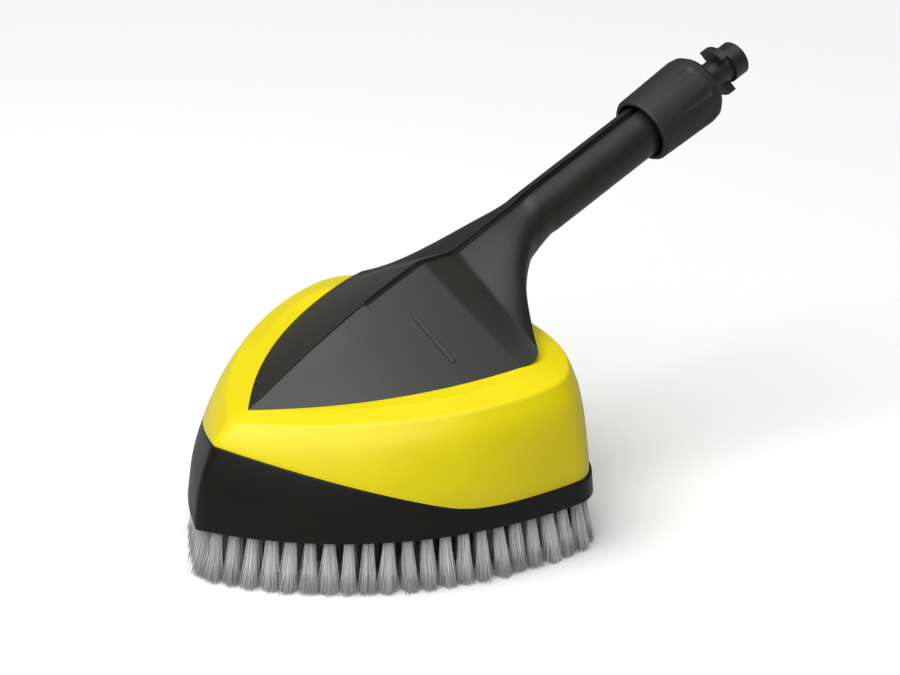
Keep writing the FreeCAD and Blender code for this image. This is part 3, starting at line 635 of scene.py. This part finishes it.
def quarter(start, end, middle, roundness, steps):
    """Points from start to end: straight at roundness 0 and a quarter ellipse at 1."""
    rise_start = start - middle
    rise_end = end - middle
    straight = [start.lerp(end, 1 / 3), start.lerp(end, 2 / 3)]
    rounded = [start + rise_end * CIRCLE, end + rise_start * CIRCLE]
    handles = [a.lerp(b, roundness) for a, b in zip(straight, rounded)]
    poles = [start, handles[0], handles[1], end]
    return [bezier(poles, index / steps) for index in range(steps + 1)]


def section(top, side, drop, roundness, groove):
    """Half section of the handle body: groove, flank down to the side, and the underside."""
    middle = Vector((side.x, 0, side.z))
    bottom = middle + (middle - top) * drop
    upper = quarter(top, side, middle, roundness, FLANK_STEPS)
    lower = quarter(side, bottom, middle, roundness, LOWER_STEPS)
    lip_y = min(GROOVE_HALF, side.y * 0.3)
    start = next(i for i in range(1, FLANK_STEPS + 1) if upper[i].y >= lip_y)
    before, after = upper[start - 1], upper[start]
    lip = before.lerp(after, (lip_y - before.y) / max(after.y - before.y, 1e-9))
    down = (bottom - top).normalized() if drop else Vector((0, 0, -1))
    depth = GROOVE_DEPTH * groove
    floor_level = top + down * depth
    points = [floor_level, Vector((floor_level.x, lip_y * (0.5 + 0.5 * groove), floor_level.z))]
    if not groove:
        points[1] = top.lerp(lip, 0.5)
    ease = LIP_EASE * groove
    points += [lip + down * ease, lip + (after - before).normalized() * ease]
    rest = [upper[start + (FLANK_STEPS - start) * index // UPPER_STEPS]
            for index in range(1, UPPER_STEPS + 1)]
    inward = (rest[-2] - side).normalized()
    under = (lower[1] - side).normalized() if (lower[1] - side).length else inward
    edge = EDGE_EASE * (1 - roundness) * smooth_step(0.0, 12.0, side.y)
    rest[-1] = side + inward * edge
    points += rest + [side + (inward + under) * (edge * 0.29), side + under * edge]
    points += lower[1:-1]
    seam = bottom.copy()
    seam.y = SEAM_HALF
    return points + [seam, bottom + Vector((0, 0, SEAM_DEPTH))]


def stations():
    """Every half section from the cover's tip to the end of the handle."""
    made = []
    groove_t = (GROOVE_FRONT_X - TIP.x) / (BEND_FRONT.x - TIP.x)
    front = [0.004, 0.012, 0.03]
    front += [index / RIDGE_STEPS for index in range(2, RIDGE_STEPS)] + [0.988]
    front += [groove_t - 0.004, groove_t + 0.004]
    for t in sorted(front):
        groove = 1.0 if t > groove_t else 0.0
        made.append(section(ridge_point(t), edge_point(t * CORNER_START), 0.0, 0.0, groove))
    for share in BEND_SHARES:
        top = BEND_FRONT.lerp(BEND_REAR, share)
        drop = NECK[0][5] * smooth_step(0.2, 1.0, share)
        made.append(section(top, corner_point(share), drop, 0.0, 1.0))
    key_sections = []
    for top_x, top_z, side_x, side_y, side_z, drop, roundness in NECK:
        key_sections.append(section(Vector((top_x, 0, top_z)), Vector((side_x, side_y, side_z)),
                                    drop, roundness, 1.0))
    for distance in (GRIP_START - GRIP_TAPER, GRIP_START, GRIP_START + GRIP_MIDDLE, GRIP_END):
        centre = GRIP + AXIS * distance
        side = centre + Vector((0, GRIP_RADIUS, 0))
        key_sections.append(section(centre + GRIP_UP * GRIP_RADIUS, side, 1.0, 1.0, 1.0))
    tops = [keys[0] for keys in key_sections]
    knots = [0.0]
    for before, after in zip(tops, tops[1:]):
        knots.append(knots[-1] + (after - before).length)
    for index in range(len(key_sections) - 1):
        steps = NECK_STEPS if index <= len(NECK) else GRIP_STEPS
        for step in range(steps):
            u = knots[index] + (knots[index + 1] - knots[index]) * step / steps
            made.append([spline([keys[i] for keys in key_sections], knots, u)
                         for i in range(len(made[0]))])
    made.append(key_sections[-1])
    return made


def handle_piece(name, node, side):
    """One half of the cover and handle; side is -1 for the near half and 1 for the far half."""
    rings = [[Vector((p.x, p.y * side, p.z)) for p in ring] for ring in STATIONS]
    bm = bmesh.new()
    first, last = loft(bm, rings)
    cap(bm, first)
    cap(bm, last)
    close_up(bm)
    weighted(finished(bm, name, HANDLE, "root", [node]))


STATIONS = stations()


BAR_PLACE = 0.80
BAR_WIDTH = 3.0
BAR_HEIGHT = 1.6
BAR_EDGE = 0.5


def cover_bar():
    """Plain raised bar on the near flank of the cover."""
    ridge = ridge_point(BAR_PLACE)
    place = ridge.lerp(edge_point(BAR_PLACE * CORNER_START), 0.33)
    ahead = ridge.lerp(edge_point(BAR_PLACE * CORNER_START), 0.80)
    place.y, ahead.y = -place.y, -ahead.y
    along = (ahead - place).normalized()
    across = (ridge_point(0.9) - ridge_point(0.7)).normalized()
    outward = along.cross(across).normalized()
    if outward.z < 0:
        outward.negate()
    across = outward.cross(along)
    bm = bmesh.new()
    bmesh.ops.create_cube(bm, size=1.0)
    length = (ahead - place).length
    turn = Matrix((along, across, outward)).transposed()
    for vert in bm.verts:
        vert.co = Vector((vert.co.x * length, vert.co.y * BAR_WIDTH, vert.co.z * BAR_HEIGHT)) * MM
    bmesh.ops.bevel(bm, geom=list(bm.edges), affect="EDGES", offset=BAR_EDGE * MM, segments=3,
                    profile=0.5, material=-1)
    middle = (place + ahead) / 2 * MM
    for vert in bm.verts:
        vert.co = turn @ vert.co + middle
    weighted(finished(bm, "cover_bar", HANDLE, "root", []))


# ---------------------------------------------------------------- bristles
ROOT_HEIGHT = 39.0
TIP_HEIGHT = 0.15
TUFT_RADIUS = 2.35
FILAMENT_RADIUS = 0.2
FILAMENT_SIDES = 3
STRAY_REACH = 3.2
BEND_REACH = 0.7
SHORTEST = 0.07
FLARE = 1.6
NUDGE = 0.9
BOX_ROOM = 0.3
NOSE_ROOM = 0.2
# height in metres between the roots and the tips of the plain tufts
TUFT_MIDDLE = 0.02


def sideways(reach):
    """A random step in the plane, up to a reach each way."""
    return Vector((chance.uniform(-reach, reach), chance.uniform(-reach, reach), 0))


def tuft_template(count, spread, stray):
    """One tuft of filaments, root at z 0 and tips at z -1, in a unit height."""
    bm = bmesh.new()
    shade = bm.verts.layers.float.new("filament_tone_and_painted_shade")
    for _ in range(count):
        angle = chance.uniform(0, math.tau)
        reach = math.sqrt(chance.random())
        root = Vector((math.cos(angle), math.sin(angle), 0)) * (reach * TUFT_RADIUS)
        wide = spread * chance.uniform(0.75, 1.25)
        tip = root * wide
        if chance.random() < stray:
            tip += sideways(STRAY_REACH)
        bend = sideways(BEND_REACH)
        short = chance.uniform(0.0, SHORTEST)
        tone = min(max(chance.gauss(0.62, 0.22), 0.0), 1.0)
        before = len(bm.verts)
        made = bmesh.ops.create_cone(
            bm, cap_ends=True, segments=FILAMENT_SIDES, radius1=FILAMENT_RADIUS * 0.8,
            radius2=FILAMENT_RADIUS, depth=1.0)["verts"]
        edges = [e for v in made for e in v.link_edges
                 if v.co.z > 0 and e.other_vert(v).co.z < 0]
        bmesh.ops.subdivide_edges(bm, edges=edges, cuts=2)
        bm.verts.ensure_lookup_table()
        for vert in bm.verts[before:]:
            down = 0.5 - vert.co.z
            centre = root.lerp(tip, down ** FLARE) + bend * math.sin(math.pi * down)
            vert.co.x += centre.x
            vert.co.y += centre.y
            vert.co.z = -down * (1 - short)
            # random tone per filament, times a factor that darkens it towards the root: painted
            # shade under the head
            vert[shade] = tone * (0.72 + 0.28 * down)
    mesh = bpy.data.meshes.new("tuft_template")
    bm.to_mesh(mesh)
    bm.free()
    return mesh


def tuft_row_piece(name, node, templates, tip_shift):
    """Every tuft of one row, each a turned copy of a template between its root and its tip."""
    bm = bmesh.new()
    for root, tip in tufts_of(node):
        before = len(bm.verts)
        bm.from_mesh(chance.choice(templates))
        bm.verts.ensure_lookup_table()
        turn = Matrix.Rotation(chance.uniform(0, math.tau), 3, "Z")
        lean = tip - root
        out = Vector((lean.x, lean.y, 0))
        nudge = sideways(NUDGE) + out * tip_shift
        for vert in bm.verts[before:]:
            down = -vert.co.z
            around = turn @ Vector((vert.co.x, vert.co.y, 0))
            flat = root.lerp(tip, down) + nudge * down ** 2 + around
            flat.y = min(max(flat.y, BOX_ROOM - HALF), HALF - BOX_ROOM)
            flat.x = max(flat.x, NOSE + NOSE_ROOM)
            height = ROOT_HEIGHT * (1 - down) + TIP_HEIGHT * down
            vert.co = Vector((flat.x, flat.y, height)) * MM
    finished(bm, name, BRISTLE, "root", [node])


def tufts_of(node):
    """Root and tip centres of a row's tufts, read from the rings of its CAD node."""
    bm = bmesh.new()
    bm.from_mesh(frame["nodes"][node].data)
    bmesh.ops.remove_doubles(bm, verts=bm.verts, dist=MERGE)
    left = set(bm.verts)
    pairs = []
    while left:
        island = [left.pop()]
        for vert in island:
            for edge in vert.link_edges:
                other = edge.other_vert(vert)
                if other in left:
                    left.discard(other)
                    island.append(other)
        # sorted, so that the sums round the same way on every run
        corners = [Vector(place) for place in sorted(vert.co.to_tuple() for vert in island)]
        high = [corner for corner in corners if corner.z > TUFT_MIDDLE]
        low = [corner for corner in corners if corner.z <= TUFT_MIDDLE]
        root = sum(high, Vector()) / len(high) / MM
        tip = sum(low, Vector()) / len(low) / MM
        pairs.append((root, tip))
    bm.free()
    pairs.sort(key=lambda pair: (round(pair[0].x, 2), round(pair[0].y, 2)))
    return pairs


def make_bristles():
    """The outer ring of tufts and the seven inner rows."""
    outer = [tuft_template(140, 2.1, 0.12) for _ in range(6)]
    inner = [tuft_template(84, 1.75, 0.08) for _ in range(4)]
    tuft_row_piece("bristles_outer", "tufts_outer", outer, 0.15)
    for row in ("second", "third", "fourth", "fifth", "sixth", "seventh", "eighth"):
        tuft_row_piece("bristles_" + row, "tufts_" + row, inner, 0.0)


# ---------------------------------------------------------------- stage
FLOOR_SHOWN = 0.9
FLOOR_THROWN = 0.45
SURROUND_SHOWN = 1.0
SURROUND_THROWN = 0.12
# name, kind, place in metres, size in metres (the sun's angle), strength
LAMPS = [("sky_lamp", "SUN", (-0.5, -0.2, 1.2), math.radians(76), 2.75),
         ("top_lamp", "AREA", (-0.5, 0.15, 1.25), 0.8, 6.0),
         ("near_lamp", "AREA", (-0.9, -1.0, 0.75), 0.9, 2.2)]
LAMP_TARGET = Vector((0, 0, 0.08))
CAMERA_AZIMUTH = math.radians(-41.271)
CAMERA_ELEVATION = math.radians(22.91)
CAMERA_DISTANCE = 1.75141
CAMERA_TARGET = Vector((-0.02514, 0.0, 0.095615))
CAMERA_LENS = 120.45


def pale_floor():
    """Wide sheet of white paper, which throws back less light than it shows."""
    bm = bmesh.new()
    bmesh.ops.create_grid(bm, x_segments=2, y_segments=2, size=6.0)
    mesh = bpy.data.meshes.new("studio_floor")
    bm.to_mesh(mesh)
    bm.free()
    paper = bpy.data.materials.new("white_paper")
    paper.use_nodes = True
    tree = paper.node_tree
    shader = tree.nodes["Principled BSDF"]
    seen = tree.nodes.new("ShaderNodeLightPath")
    paleness = range_node(tree, 0.0, 1.0, FLOOR_THROWN, FLOOR_SHOWN)
    tree.links.new(seen.outputs["Is Camera Ray"], paleness.inputs["Value"])
    tree.links.new(paleness.outputs["Result"], shader.inputs["Base Color"])
    shader.inputs["Roughness"].default_value = 0.9
    shader.inputs["Specular IOR Level"].default_value = 0.1
    mesh.materials.append(paper)
    floor = bpy.data.objects.new("studio_floor", mesh)
    bpy.context.scene.collection.objects.link(floor)


def white_surround():
    """White all round to the camera, and dim to the brush."""
    world = bpy.data.worlds.new("studio_world")
    world.use_nodes = True
    tree = world.node_tree
    soft = tree.nodes["Background"]
    backdrop = tree.nodes.new("ShaderNodeBackground")
    for shade, strength in ((soft, SURROUND_THROWN), (backdrop, SURROUND_SHOWN)):
        shade.inputs["Color"].default_value = (1, 1, 1, 1)
        shade.inputs["Strength"].default_value = strength
    seen = tree.nodes.new("ShaderNodeLightPath")
    choose = tree.nodes.new("ShaderNodeMixShader")
    tree.links.new(seen.outputs["Is Camera Ray"], choose.inputs[0])
    tree.links.new(soft.outputs["Background"], choose.inputs[1])
    tree.links.new(backdrop.outputs["Background"], choose.inputs[2])
    tree.links.new(choose.outputs["Shader"], tree.nodes["World Output"].inputs["Surface"])
    bpy.context.scene.world = world


def placed(name, data, place, aim):
    """A lamp or camera at a place, turned to look along aim."""
    item = bpy.data.objects.new(name, data)
    item.location = place
    item.rotation_mode = "QUATERNION"
    item.rotation_quaternion = aim.to_track_quat("-Z", "Y")
    bpy.context.scene.collection.objects.link(item)
    return item


def studio():
    """Pale floor, white surroundings, three soft lamps and the camera."""
    pale_floor()
    white_surround()
    for name, kind, place, size, strength in LAMPS:
        data = bpy.data.lights.new(name, kind)
        data.energy = strength
        if kind == "SUN":
            data.angle = size
        else:
            data.size = size
        placed(name, data, place, -Vector(place) + LAMP_TARGET)

    camera_data = bpy.data.cameras.new("camera")
    camera_data.sensor_width = 36.0
    camera_data.lens = CAMERA_LENS
    camera_data.clip_end = 50.0
    back = Vector((math.sin(CAMERA_AZIMUTH) * math.cos(CAMERA_ELEVATION),
                   -math.cos(CAMERA_AZIMUTH) * math.cos(CAMERA_ELEVATION),
                   math.sin(CAMERA_ELEVATION)))
    bpy.context.scene.camera = placed("camera", camera_data,
                                      CAMERA_TARGET + back * CAMERA_DISTANCE, -back)
    bpy.context.scene.view_settings.view_transform = "Standard"


make_bristles()
skirt_piece()
shell_piece()
handle_piece("handle_near_half", "handle_shell_left", -1)
handle_piece("handle_far_half", "handle_shell_right", 1)
cover_bar()
studio()
